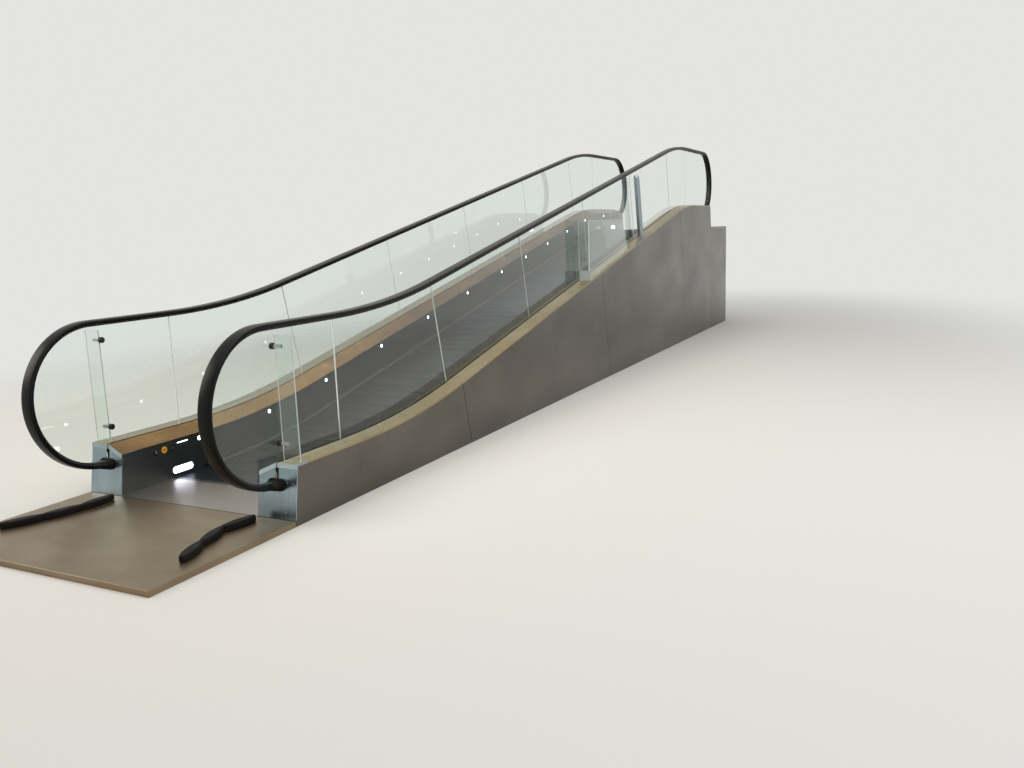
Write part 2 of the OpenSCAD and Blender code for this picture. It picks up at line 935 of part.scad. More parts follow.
// two clips on each barrier pane, on discs at both faces of the balustrade glass
module barrier_clamps(side) {
    color("silver")
        mirror_x(side)
            for (h = [clip_h, barrier_h - 55])
                at(s_front_lo + barrier_y)
                    translate([0, 0, deck_hi_h + h]) {
                        translate([glass_in - 6, 0, 0])
                            rotate([0, 90, 0])
                                cylinder(h = 6, d = disc_d);
                        translate([glass_out, 0, 0])
                            rotate([0, 90, 0])
                                cylinder(h = 6, d = disc_d);
                        translate([glass_out + 6, 0, 0])
                            difference() {
                                translate([0, -pane_t / 2 - 5, -9])
                                    cube([52, pane_t + 10, 18]);
                                translate([8.7, -pane_t / 2 - 0.3, -20])
                                    cube([60, pane_t + 0.6, 40]);
                            }
                    }
}

// frame upright above the outer deck, with y level and z = 0 at the foot of the climb panel's lower end
module climb_frame() {
    s = s1 + (s2 - s1) * 0.44;
    translate([0, path_y(s), path_z(s)])
        children();
}

// pane along the outer edge of the deck with a level top, and a pane across the deck at its lower end
module climb_panel() {
    foot = deck_hi_h / cos(incline);
    x = half_w - 16 - pane_t;
    color("aquamarine", 0.5)
        climb_frame() {
            translate([x, 0.3, 0])
                rotate([90, 0, 90])
                    linear_extrude(height = pane_t)
                        polygon([
                            [0, foot + 0.4],
                            [climb_len, foot + 0.4 + climb_len * tan(incline)],
                            [climb_len * 0.84, foot + climb_h],
                            [0, foot + climb_h]
                        ]);
            translate([glass_out + 15, -shoe_t - pane_t, foot + 12])
                cube([half_w - glass_out - 25, pane_t, climb_h - 12]);
        }
}

// shoe that holds the pane across the outer deck
module climb_panel_shoe() {
    foot = deck_hi_h / cos(incline);
    back = -2 * shoe_t - pane_t;
    color("silver")
        climb_frame()
            translate([glass_out + 25, 0, 0])
                rotate([90, 0, 90])
                    linear_extrude(height = half_w - glass_out - 33)
                        difference() {
                            polygon([
                                [back, foot + 0.3 + back * tan(incline)],
                                [0, foot + 0.3],
                                [0, foot + shoe_h],
                                [back, foot + shoe_h]
                            ]);
                            box2(-shoe_t - pane_t - 0.3, -shoe_t + 0.3, foot + 11.7, foot + 200);
                        }
}

// round post with a domed top on a flange
module stop_post() {
    s = s1 + (s2 - s1) * 0.44 + climb_len / cos(incline) + post_gap;
    color("gray")
        at(s)
            translate([(glass_out + half_w) / 2, 0, deck_hi_h])
                rotate_extrude() {
                    square([post_d / 2, post_h - post_d / 2]);
                    square([post_d / 2 + 14, 8]);
                    intersection() {
                        translate([0, post_h - post_d / 2])
                            circle(d = post_d);
                        translate([0, post_h - post_d / 2 - 1])
                            square([post_d, post_d]);
                    }
                }
}

truss_housing();
pallets();
lower_floor_plate();
upper_floor_plate();
lower_comb_plate();
upper_comb_plate();
skirt(-1);  // left_skirt
skirt(1);  // right_skirt
skirt_brush(-1);  // left_skirt_brush
skirt_brush(1);  // right_skirt_brush
inner_deck(-1);  // left_inner_deck
inner_deck(1);  // right_inner_deck
outer_deck(-1);  // left_outer_deck
outer_deck(1);  // right_outer_deck
glass_clamp(-1);  // left_glass_clamp
glass_clamp(1);  // right_glass_clamp
glass(-1);  // left_glass
glass(1);  // right_glass
handrail_guide(-1);  // left_handrail_guide
handrail_guide(1);  // right_handrail_guide
handrail(-1);  // left_handrail
handrail(1);  // right_handrail
newel_base(false, -1);  // lower_left_newel_base
newel_base(false, 1);  // lower_right_newel_base
newel_base(true, -1);  // upper_left_newel_base
newel_base(true, 1);  // upper_right_newel_base
inlet_collar(false, -1);  // lower_left_inlet_collar
inlet_collar(false, 1);  // lower_right_inlet_collar
inlet_collar(true, -1);  // upper_left_inlet_collar
inlet_collar(true, 1);  // upper_right_inlet_collar
cladding(-1);  // left_cladding
cladding(1);  // right_cladding
upper_end_wall();
skirt_lights(-1);  // left_skirt_lights
skirt_lights(1);  // right_skirt_lights
floor_guides(-1);  // left_floor_guides
floor_guides(1);  // right_floor_guides
barrier_glass(-1);  // left_barrier_glass
barrier_glass(1);  // right_barrier_glass
barrier_clamps(-1);  // left_barrier_clamps
barrier_clamps(1);  // right_barrier_clamps
climb_panel();
climb_panel_shoe();
stop_post();
skirt_switches();
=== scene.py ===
# Looks of the inclined moving walk: finishes for the CAD model's pieces, and the finely shaped pieces
# that stand for the plain ones. Everything is in metres, in the CAD model's own frame: x to the right
# on the way up, y along the travel, z up from the ground.
import math

import bpy
from mathutils import Matrix, Vector


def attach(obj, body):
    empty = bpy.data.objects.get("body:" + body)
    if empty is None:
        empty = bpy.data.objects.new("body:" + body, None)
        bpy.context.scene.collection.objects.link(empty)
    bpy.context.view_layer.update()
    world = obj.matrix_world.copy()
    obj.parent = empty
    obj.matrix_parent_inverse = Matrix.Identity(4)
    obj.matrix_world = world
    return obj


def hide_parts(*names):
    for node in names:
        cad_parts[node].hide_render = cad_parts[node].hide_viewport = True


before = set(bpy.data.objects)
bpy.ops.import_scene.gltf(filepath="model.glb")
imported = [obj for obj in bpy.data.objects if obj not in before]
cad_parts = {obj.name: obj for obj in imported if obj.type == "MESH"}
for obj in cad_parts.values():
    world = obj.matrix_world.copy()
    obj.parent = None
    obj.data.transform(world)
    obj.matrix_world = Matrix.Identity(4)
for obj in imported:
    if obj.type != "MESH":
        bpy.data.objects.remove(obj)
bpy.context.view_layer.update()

# Sizes shared with the CAD model: the travel
RISE = 1.350
SLOPE = math.radians(12)
LEVEL = 1.200
LOWER_R = 6.000
UPPER_R = 3.000
FLOOR = 0.030
COMB = 0.450
TOOTH = 0.070
LEAN = math.radians(9)

# Sizes shared with the CAD model: the balustrade, out from the middle of the walk and up from the pallets
SKIRT_X = 0.504
HALF_W = 0.754
GLASS_T = 0.010
GLASS_GAP = 0.003
RAIL_X = 0.622
RAIL_H = 1.000
NEWEL_R = 0.420
RAIL_W = 0.080
RAIL_D = 0.028
INLET_H = RAIL_H - 2 * NEWEL_R + RAIL_D / 2
DECK_LOW = 0.235
DECK_HIGH = 0.285
DECK_T = 0.004
CAP = 0.130
CAP_EDGE = 0.025
LIGHT_H = 0.198
COMB_LIGHT_H = 0.045
SWITCH_H = 0.188
# the decks end at both sides of the slot that the glass stands in
SLOT_IN = RAIL_X - GLASS_T / 2 - GLASS_GAP
SLOT_OUT = RAIL_X + GLASS_T / 2 + GLASS_GAP

# Places worked out from them, with stations counted along the pallets from the start of the lower curve
RUN = RISE / math.tan(SLOPE)
TAN_LOW = LOWER_R * math.tan(SLOPE / 2)
TAN_HIGH = UPPER_R * math.tan(SLOPE / 2)
START_Y = -RUN / 2 - TAN_LOW
STOP_Y = RUN / 2 + TAN_HIGH
FRONT_LOW = -RUN / 2 - LEVEL
FRONT_HIGH = RUN / 2 + LEVEL
S1 = LOWER_R * SLOPE
S2 = S1 + RUN / math.cos(SLOPE) - TAN_LOW - TAN_HIGH
S3 = S2 + UPPER_R * SLOPE
S_LOW = FRONT_LOW - START_Y
S_HIGH = S3 + FRONT_HIGH - STOP_Y

SIDES = (("left", -1), ("right", 1))
ENDS = ("lower", "upper")
ORIGIN = (0, 0, 0)

# Modelling: what counts as one corner, as one plane, and as a face that looks along an axis
DOUBLES = 1e-5
FLAT = math.radians(1)
FACING = 0.9
# widths of broken edges: on bent sheets, on panes with their clamps, and on machined parts
SHEET_EDGE = 0.0012
PANE_EDGE = 0.0008
PART_EDGE = 0.001
# steps along each curve of the pallet line, and round each handrail loop
CURVE_STEPS = 16
NEWEL_STEPS = 48


def line_at(s):
    """Slope, y and z of the pallet line at a station."""
    if s <= 0:
        return 0.0, START_Y + s, FLOOR
    if s < S1:
        a = s / LOWER_R
        return a, START_Y + LOWER_R * math.sin(a), FLOOR + LOWER_R * (1 - math.cos(a))
    if s <= S2:
        d = TAN_LOW + s - S1
        return SLOPE, -RUN / 2 + d * math.cos(SLOPE), FLOOR + d * math.sin(SLOPE)
    if s < S3:
        a = SLOPE - (s - S2) / UPPER_R
        return a, STOP_Y - UPPER_R * math.sin(a), FLOOR + RISE - UPPER_R * (1 - math.cos(a))
    return 0.0, STOP_Y + s - S3, FLOOR + RISE


def on_line(s, x=0.0, h=0.0):
    """Matrix to a place on the pallet line, with y along the line and z square to it."""
    a, y, z = line_at(s)
    return Matrix.Translation((0, y, z)) @ Matrix.Rotation(a, 4, "X") @ Matrix.Translation((x, 0, h))


def on_skirt(side, s, h):
    """Matrix to a place on the face of a skirt, for a piece that looks up z before it."""
    return on_line(s, side * SKIRT_X, h) @ Matrix.Rotation(-side * math.pi / 2, 4, "Y")


def at_landing(end, side):
    """Matrix from the right half of the lower landing, measured from its newel centre, to each landing."""
    mirrored = Matrix.Scale(side, 4, (1, 0, 0))
    if end == "lower":
        return Matrix.Translation((0, FRONT_LOW, FLOOR)) @ mirrored
    return Matrix.Translation((0, FRONT_HIGH, FLOOR + RISE)) @ Matrix.Scale(-1, 4, (0, 1, 0)) @ mirrored


def front_y(h):
    """Place of the leaning front sheet behind its foot, at a height above the floor."""
    return h * math.tan(LEAN)


# Modelling steps, each of which starts from a plain selection
def pick(obj):
    bpy.ops.object.select_all(action="DESELECT")
    obj.select_set(True)
    bpy.context.view_layer.objects.active = obj


def edit(obj, test=None):
    """Opens a piece with the faces selected that pass a test, or with all of it."""
    mesh = obj.data
    for items in (mesh.vertices, mesh.edges, mesh.polygons):
        items.foreach_set("select", [test is None] * len(items))
    if test is not None:
        for face in mesh.polygons:
            face.select = test(face)
    bpy.context.tool_settings.mesh_select_mode = (test is None, False, test is not None)
    pick(obj)
    bpy.ops.object.mode_set(mode="EDIT")


def done():
    bpy.ops.object.mode_set(mode="OBJECT")


def looks_up(face):
    return face.normal.z > FACING


def apply(obj, kind, **settings):
    """Adds a modifier with its settings and applies it."""
    pick(obj)
    modifier = obj.modifiers.new(kind.title(), kind)
    for name, value in settings.items():
        setattr(modifier, name, value)
    bpy.ops.object.modifier_apply(modifier=modifier.name)


def smooth(obj, degrees=35):
    pick(obj)
    bpy.ops.object.shade_smooth_by_angle(angle=math.radians(degrees))


def soften(obj, width, segments=2, angle=30):
    """Breaks the sharp edges, as grinding or moulding does, and smooths what is left."""
    apply(obj, "BEVEL", width=width, segments=segments, limit_method="ANGLE",
          angle_limit=math.radians(angle), use_clamp_overlap=True)
    smooth(obj)


def keep_flat(obj):
    """Turns the corner normals of a smoothed piece to its large faces, so that these look flat."""
    apply(obj, "WEIGHTED_NORMAL", mode="FACE_AREA", weight=100, keep_sharp=True)


def face_outwards(obj):
    edit(obj)
    bpy.ops.mesh.normals_make_consistent(inside=False)
    done()


def close_up(obj, caps=True, threshold=DOUBLES):
    """Merges doubles, closes open ends and turns all faces outwards."""
    edit(obj)
    bpy.ops.mesh.remove_doubles(threshold=threshold)
    if caps:
        bpy.ops.mesh.select_all(action="SELECT")
        bpy.ops.mesh.fill_holes(sides=0)
    done()
    face_outwards(obj)


def settle(obj):
    """Puts the object's place and size into its mesh."""
    pick(obj)
    bpy.ops.object.transform_apply(location=True, rotation=True, scale=True)


def named(obj, name):
    obj.name = obj.data.name = name
    return obj


def join(pieces, name):
    bpy.ops.object.select_all(action="DESELECT")
    for piece in pieces:
        piece.select_set(True)
    bpy.context.view_layer.objects.active = pieces[0]
    bpy.ops.object.join()
    return named(pieces[0], name)


def copies(model, matrices, name, keep=False):
    """One piece from a copy of the model at each matrix; the model is used up, or kept for the next."""
    made = []
    for matrix in matrices:
        one = bpy.data.objects.new(name, model.data.copy())
        bpy.context.scene.collection.objects.link(one)
        one.data.transform(matrix)
        if matrix.determinant() < 0:
            one.data.flip_normals()
        made.append(one)
    if not keep:
        bpy.data.objects.remove(model)
    return join(made, name)


def block(size, place=ORIGIN):
    bpy.ops.object.select_all(action="DESELECT")
    bpy.ops.mesh.primitive_cube_add(size=1, location=place)
    obj = bpy.context.active_object
    obj.scale = size
    settle(obj)
    return obj


def disc(radius, thick, middle, corners):
    """A round start for screws and switches, with its middle at a height on the z axis."""
    bpy.ops.object.select_all(action="DESELECT")
    place = (0, 0, middle)
    bpy.ops.mesh.primitive_cylinder_add(vertices=corners, radius=radius, depth=thick, location=place)
    obj = bpy.context.active_object
    settle(obj)
    return obj


def ring(outline, place):
    """A closed line of corners, opened for editing: a circle whose corners are put on an outline."""
    bpy.ops.object.select_all(action="DESELECT")
    bpy.ops.mesh.primitive_circle_add(vertices=len(outline), fill_type="NOTHING", enter_editmode=False)
    obj = bpy.context.active_object
    for corner, (u, v) in zip(obj.data.vertices, outline):
        corner.co = place(u, v)
    edit(obj)
    return obj


def push(x=0.0, y=0.0, z=0.0):
    bpy.ops.mesh.extrude_region_move(TRANSFORM_OT_translate={"value": (x, y, z)})


def widen(sx, sy, sz, centre=ORIGIN):
    bpy.ops.transform.resize(value=(sx, sy, sz), center_override=centre)


def wear(obj, *finishes):
    """Gives a piece its finishes; faces start with the first."""
    obj.data.materials.clear()
    for kind in finishes:
        obj.data.materials.append(FINISH[kind])
    return obj


def paint(obj, index, test=None):
    """Gives one of its finishes to the faces that pass a test, or to all."""
    for face in obj.data.polygons:
        if test is None or test(face):
            face.material_index = index


def show(obj, slot, *nodes):
    """The finished piece rides on the machine and stands for CAD nodes; the slot is not used."""
    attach(obj, "root")
    if nodes:
        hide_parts(*nodes)


def dress(node, width):
    """A copy of a CAD node with its sharp edges broken and its faces kept flat."""
    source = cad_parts[node]
    obj = bpy.data.objects.new(f"{node}_finished", source.data.copy())
    bpy.context.scene.collection.objects.link(obj)
    obj.data.name = obj.name
    pick(obj)
    bpy.ops.mesh.customdata_custom_splitnormals_clear()
    edit(obj)
    bpy.ops.mesh.remove_doubles(threshold=DOUBLES)
    bpy.ops.mesh.select_all(action="SELECT")
    bpy.ops.mesh.dissolve_limited(angle_limit=FLAT)
    done()
    soften(obj, width)
    keep_flat(obj)
    return obj


# Runs that follow the pallet line
def turn(angle, y, z, steps):
    """Spins the ring about a level axis; the operator counts its angle the other way."""
    bpy.ops.mesh.spin(steps=steps, angle=-angle, center=(0, y, z), axis=(1, 0, 0))


def carry(first, last):
    """Carries the selected ring along the pallet line from one station to another, either way."""
    way = 1 if last > first else -1
    marks = (-math.inf, 0.0, S1, S2, S3, math.inf)
    for i in range(5)[::way]:
        length = min(max(first, last), marks[i + 1]) - max(min(first, last), marks[i])
        if length < DOUBLES:
            continue
        if i == 1:
            steps = max(2, round(CURVE_STEPS * length / S1))
            turn(way * length / LOWER_R, START_Y, FLOOR + LOWER_R, steps)
        elif i == 3:
            steps = max(2, round(CURVE_STEPS * length / (S3 - S2)))
            turn(-way * length / UPPER_R, STOP_Y, FLOOR + RISE - UPPER_R, steps)
        else:
            tilt = SLOPE if i == 2 else 0.0
            push(0, way * length * math.cos(tilt), way * length * math.sin(tilt))


def run_piece(outline, side, first, last):
    """A closed bar of one section along the line, with its right-hand outline given as x and height."""
    start = on_line(first)
    obj = ring(outline, lambda x, h: start @ Vector((side * x, 0, h)))
    carry(first, last)
    done()
    close_up(obj)
    return obj


# Finishes
def linear(hex_colour):
    """Linear RGBA from an sRGB hex colour."""
    out = []
    for i in (1, 3, 5):
        c = int(hex_colour[i : i + 2], 16) / 255
        out.append(c / 12.92 if c <= 0.04045 else ((c + 0.055) / 1.055) ** 2.4)
    return (*out, 1.0)


def put(tree, kind, fields=None, sockets=None):
    """Adds a node, sets its fields, and gives its sockets a value or another node's output."""
    made = tree.nodes.new(kind)
    for name, value in (fields or {}).items():
        setattr(made, name, value)
    for name, value in (sockets or {}).items():
        if isinstance(value, bpy.types.NodeSocket):
            tree.links.new(value, made.inputs[name])
        else:
            made.inputs[name].default_value = value
    return made


def finish(name, colour, metallic, roughness, **sockets):
    """A material with one shader, and the tree it is in."""
    made = bpy.data.materials.new(name)
    made.use_nodes = True
    tree = made.node_tree
    shader = tree.nodes["Principled BSDF"]
    shader.inputs["Base Color"].default_value = linear(colour)
    shader.inputs["Metallic"].default_value = metallic
    shader.inputs["Roughness"].default_value = roughness
    for socket, value in sockets.items():
        shader.inputs[socket.replace("_", " ")].default_value = value
    return made, tree, shader


def grain(tree, mm, detail=2.0):
    """Noise whose blobs measure so many millimetres along x, y and z on the piece."""
    place = put(tree, "ShaderNodeTexCoord").outputs["Object"]
    scale = tuple(1000.0 / length for length in mm)
    sized = put(tree, "ShaderNodeMapping", sockets={"Vector": place, "Scale": scale})
    sockets = {"Vector": sized.outputs["Vector"], "Scale": 1.0, "Detail": detail}
    return put(tree, "ShaderNodeTexNoise", sockets=sockets).outputs["Fac"]


# the span in which nearly all of the noise lies
NOISE = {"From Min": 0.3, "From Max": 0.7}


def follow(tree, shader, pattern, colours=None, rough=None, bump=0.0):
    """Lets a finish's colour, roughness and height in millimetres follow a pattern of noise."""
    if colours:
        sockets = {"Value": pattern, **NOISE, "To Min": 0.0, "To Max": 1.0}
        tone = put(tree, "ShaderNodeMapRange", sockets=sockets).outputs["Result"]
        sockets = {0: tone, 6: linear(colours[0]), 7: linear(colours[1])}
        mixed = put(tree, "ShaderNodeMix", {"data_type": "RGBA"}, sockets)
        tree.links.new(mixed.outputs[2], shader.inputs["Base Color"])
    if rough:
        sockets = {"Value": pattern, **NOISE, "To Min": rough[0], "To Max": rough[1]}
        made = put(tree, "ShaderNodeMapRange", sockets=sockets)
        tree.links.new(made.outputs["Result"], shader.inputs["Roughness"])
    if bump:
        made = put(tree, "ShaderNodeBump", sockets={"Height": pattern, "Distance": bump / 1000})
        tree.links.new(made.outputs["Normal"], shader.inputs["Normal"])


def brushed(name, dark, light, roughness, lines, bump=0.0, cloud=(420, 420, 420)):
    """Metal sheet with a brushed grain. The real lines are about 0.2 mm apart, too fine to show, so they
    are drawn a few millimetres wide, and touch and cleaning leave wide soft clouds over them."""
    made, tree, shader = finish(name, light, 1.0, roughness)
    strokes = grain(tree, lines, 3.0)
    clouds = grain(tree, cloud, 3.0)
    share, level, swing = 0.45, 0.69, 0.05
    both = put(tree, "ShaderNodeMath", {"operation": "MULTIPLY_ADD"}, {0: strokes, 1: share, 2: clouds})
    levelled = put(tree, "ShaderNodeMath", {"operation": "MULTIPLY"}, {0: both.outputs[0], 1: level})
    follow(tree, shader, levelled.outputs[0], (dark, light), (roughness + swing, roughness - swing))
    follow(tree, shader, strokes, bump=bump)
    return made


def cast_aluminium():
    """Die-cast aluminium of the cleat tops, lighter than the painted shade of the grooves, with dust that
    greys them in patches.
    """
    made, tree, shader = finish("cast_aluminium", "#646c73", 1.0, 0.4)
    follow(tree, shader, grain(tree, (220, 70, 220), 4.0), ("#575e64", "#6d757c"), (0.48, 0.34))
    return made


def groove_aluminium():
    """The same cast aluminium in the grooves, much darker: painted shade, with the grime that stays there.
    """
    made, tree, shader = finish("cast_groove_aluminium", "#2a2e32", 1.0, 0.6)
    follow(tree, shader, grain(tree, (30, 30, 10), 3.0), ("#1d2023", "#34393e"))
    return made


def handrail_rubber():
    """Vulcanised rubber over cloth, which use keeps black and softly shining."""
    made, tree, shader = finish("vulcanised_rubber", "#0b0b0c", 0.0, 0.3, Specular_IOR_Level=0.12)
    follow(tree, shader, grain(tree, (240, 240, 240), 3.0), ("#08090a", "#111213"), (0.25, 0.35))
    follow(tree, shader, grain(tree, (1.2, 1.2, 1.2)), bump=0.02)
    return made


def moulded_rubber():
    """Moulded rubber: dull, finely pitted, with a little pale dust on it."""
    made, tree, shader = finish("moulded_rubber", "#100f0e", 0.0, 0.6, Specular_IOR_Level=0.15)
    follow(tree, shader, grain(tree, (60, 60, 60), 4.0), ("#0b0a0a", "#171614"), (0.5, 0.7))
    follow(tree, shader, grain(tree, (1.5, 1.5, 1.5), 3.0), bump=0.1)
    return made


def nylon_bristle():
    """Drawn nylon monofilament, 0.3 mm thick: each tuft shows a few pale streaks along it."""
    made, tree, shader = finish("nylon_bristle", "#121314", 0.0, 0.5)
    follow(tree, shader, grain(tree, (20, 1.2, 20), 2.0), ("#0b0c0c", "#202224"))
    return made


def truss_paint():
    """Powder coat on the truss: fine orange peel, dark grey."""
    made, tree, shader = finish("truss_powder_coat", "#3b3d3f", 0.0, 0.6)
    follow(tree, shader, grain(tree, (2, 2, 2)), ("#37393b", "#3f4143"), bump=0.1)
    return made


def plastic(name, dark, light):
    """Glass-filled nylon of switch bodies, moulded, with a faint cloud from the mould."""
    made, tree, shader = finish(name, light, 0.0, 0.35)
    follow(tree, shader, grain(tree, (9, 9, 9)), (dark, light))
    return made


def opal_lens():
    """Opal acrylic over a cool white lamp; the lens is a little dimmer towards its edge."""
    made, tree, shader = finish("opal_acrylic", "#f4f6ff", 0.0, 0.25, Emission_Strength=5.0)
    edge = put(tree, "ShaderNodeLayerWeight", sockets={"Blend": 0.3}).outputs["Facing"]
    sockets = {0: edge, 6: linear("#f2f5ff"), 7: linear("#cfdcff")}
    glow = put(tree, "ShaderNodeMix", {"data_type": "RGBA"}, sockets)
    tree.links.new(glow.outputs[2], shader.inputs["Emission Color"])
    return made


def safety_glass():
    """Toughened glass, faintly green, which lets the lamps through to what stands behind it."""
    made, tree, shader = finish("toughened_glass", "#f3f9f6", 0.0, 0.0, IOR=1.5, Transmission_Weight=1.0)
    clear = put(tree, "ShaderNodeBsdfTransparent", sockets={"Color": linear("#eef6f2")})
    path = put(tree, "ShaderNodeLightPath")
    sockets = {0: path.outputs["Is Shadow Ray"], 1: shader.outputs[0], 2: clear.outputs[0]}
    mixed = put(tree, "ShaderNodeMixShader", sockets=sockets)
    tree.links.new(mixed.outputs[0], tree.nodes["Material Output"].inputs["Surface"])
    return made


def glass_edge():
    """Ground edge of a pane, pale from the grinding and paler still with a painted highlight, for the light
    that the edge gathers.
    """
    made, tree, shader = finish("ground_glass_edge_painted_highlight", "#dfeae5", 0.0, 0.3, Transmission_Weight=0.3)
    follow(tree, shader, grain(tree, (3, 3, 60)), ("#cfdfd8", "#e9f2ee"))
    return made


def joint_strip():
    """Extruded clear vinyl strip between two panes, pale with a painted highlight of the glass edges, which
    shows as a pale line.
    """
    made, tree, shader = finish("joint_strip_painted_highlight", "#eef3f0", 0.0, 0.3, Transmission_Weight=0.35)
    follow(tree, shader, grain(tree, (20, 20, 160)), ("#dfe7e2", "#f6faf8"))
    return made


# lengths of the drawn brush lines in millimetres along x, y and z, by the way the sheet was brushed
ACROSS = (180, 1.6, 1.6)
ALONG = (2.0, 240, 2.0)
UPRIGHT = (2.0, 2.0, 220)
# sheet that was polished or rolled shows wide soft spots, and blasted steel small ones
SPOTS = (40, 40, 40)
BLASTED = (4, 4, 4)

FINISH = {
    "pallet": cast_aluminium(),
    "groove": groove_aluminium(),
    # stainless floor plates of a warm tone, brushed across the travel and dull from use
    "floor": brushed("brushed_stainless_floor", "#84745f", "#9b8a72", 0.36, ACROSS, cloud=(420, 260, 300)),
    # milled aluminium, paler than the plates beside it
    "comb": brushed("milled_aluminium_comb", "#989089", "#b0a8a3", 0.36, ACROSS, 0.01),
    # dark stainless with a low-friction coat, worn in long soft streaks along the travel
    "skirt": brushed("coated_stainless_skirt", "#5f6161", "#727474", 0.36, ALONG, 0.02, (300, 900, 120)),
    # bronze-toned stainless, which shows long warm reflections, and a straw tone on the outer decks
    "inner_deck": brushed("brushed_stainless_bronze", "#574227", "#8a6c41", 0.28, ALONG, 0.02,
                          (300, 420, 300)),
    "outer_deck": brushed("brushed_stainless_straw", "#938261", "#ab9a76", 0.28, ALONG, 0.02),
    # cool stainless, brushed upright, whose clouds blur what stands before it
    "front": brushed("brushed_stainless_front", "#7f8f96", "#a2b2ba", 0.24, UPRIGHT, 0.02, (160, 160, 240)),
    # finely brushed caps and polished trim, which catch the light
    "cap": brushed("brushed_stainless_cap", "#a3b0b3", "#c3cdd0", 0.2, ACROSS, 0.02),
    "trim": brushed("polished_stainless_trim", "#9c9d9c", "#bdbebd", 0.24, SPOTS, 0.01),
    # brownish stainless in large sheets, with broad uneven patches
    "cladding": brushed("brushed_stainless_cladding", "#5d5953", "#716c65", 0.3, UPRIGHT, 0.03,
                        (600, 600, 400)),
    # blasted steel of the key switch, matt, and rolled dark steel of the handrail guides
    "dull_steel": brushed("blasted_stainless", "#6d7073", "#85888b", 0.4, BLASTED),
    "guide": brushed("rolled_steel_guide", "#37393b", "#47494b", 0.42, SPOTS),
    # tube brushed along its length, with one long highlight
    "post": brushed("brushed_stainless_post", "#8b969e", "#a9b4bb", 0.28, UPRIGHT, 0.01),
    "handrail": handrail_rubber(),
    "rubber": moulded_rubber(),
    "bristle": nylon_bristle(),
    "truss": truss_paint(),
    "black_plastic": plastic("moulded_black_nylon", "#101112", "#191a1b"),
    "yellow_plastic": plastic("moulded_yellow_nylon", "#d6a31c", "#e6b82e"),
    "orange_plastic": plastic("moulded_orange_nylon", "#b9541a", "#cf6422"),
    "glass": safety_glass(),
    "glass_edge": glass_edge(),
    "joint": joint_strip(),
    "lens": opal_lens(),
}


# The two handrails, each one closed loop
def rail_outline():
    """Section of a handrail, with its crowned outer face at height 0 and its lips round the guide."""
    half, r, crown = RAIL_W / 2, 0.012, 0.0016
    mouth, lip_top = 0.021, -0.019
    hollow, hollow_top = 0.031, -0.010
    right = [(0.0, 0.0)]
    for x in (half / 4, half / 2):
        right.append((x, -crown * (x / (half - r)) ** 2))
    for degrees in range(0, 91, 15):
        a = math.radians(90 - degrees)
        right.append((half - r + r * math.cos(a), -r - crown + r * math.sin(a)))
    for degrees in range(0, 91, 15):
        a = math.radians(-degrees)
        right.append((half - r + r * math.cos(a), -RAIL_D + r + r * math.sin(a)))
    right += [(mouth, -RAIL_D), (mouth, lip_top), (hollow, lip_top), (hollow, hollow_top)]
    return right + [(-x, h) for x, h in right[:0:-1]]


def handrails():
    seam = 1e-4
    for word, side in SIDES:
        start = on_line(S_LOW, side * RAIL_X, RAIL_H)
        obj = ring(rail_outline(), lambda x, h: start @ Vector((x, 0, h)))
        carry(S_LOW, S_HIGH)
        turn(-math.pi, FRONT_HIGH, FLOOR + RISE + RAIL_H - NEWEL_R, NEWEL_STEPS)
        carry(S_HIGH, S_LOW)
        turn(-math.pi, FRONT_LOW, FLOOR + RAIL_H - NEWEL_R, NEWEL_STEPS)
        done()
        close_up(obj, caps=False, threshold=seam)
        smooth(obj)
        wear(named(obj, f"{word}_handrail_belt"), "handrail")
        show(obj, "handrail_rubber", f"{word}_handrail")


# The pallet band, each pallet with all its cleats
PALLET_W = 1.0
PALLET_T = 0.024
CLEAT_W = 0.004
CLEAT_PITCH = 0.009
CLEAT_TAPER = (0.7, 0.985, 1)
GROOVE = 0.011
PALLET_PITCH = 0.133
PALLET_GAP = 0.004
COMB_GAP = 0.005


def pallet_model(length):
    """One pallet with its top at z = 0: open-bottomed cleats on a plate."""
    count = int((PALLET_W - CLEAT_W) / CLEAT_PITCH) + 1
    first = -(count - 1) / 2 * CLEAT_PITCH
    cleat = block((CLEAT_W, length, GROOVE), (first, 0, -GROOVE / 2))
    edit(cleat, lambda f: f.normal.z < -FACING)
    bpy.ops.mesh.delete(type="FACE")
    done()
    edit(cleat, looks_up)
    widen(*CLEAT_TAPER, (first, 0, 0))
    done()
    wear(cleat, "pallet", "groove")
    # every face but the cleat tops takes the dark groove finish: painted shade
    paint(cleat, 1, lambda f: not looks_up(f))
    apply(cleat, "ARRAY", count=count, use_relative_offset=False, use_constant_offset=True,
          constant_offset_displace=(CLEAT_PITCH, 0, 0))
    plate = block((PALLET_W, length, PALLET_T - GROOVE), (0, 0, -(PALLET_T + GROOVE) / 2))
    wear(plate, "pallet", "groove")
    # the plate, seen between the cleats, is dark all over: painted shade
    paint(plate, 1)
    return join([cleat, plate], "pallet")


def pallet_band():
    """Pallets from one comb plate to the other, under the teeth of both."""
    first = S_LOW + COMB - TOOTH + COMB_GAP
    last = S_HIGH - COMB + TOOTH - COMB_GAP
    count = round((last - first) / PALLET_PITCH)
    pitch = (last - first) / count
    places = [on_line(first + (i + 0.5) * pitch) for i in range(count)]
    show(copies(pallet_model(pitch - PALLET_GAP), places, "pallet_band"), "pallet_aluminium", "pallets")


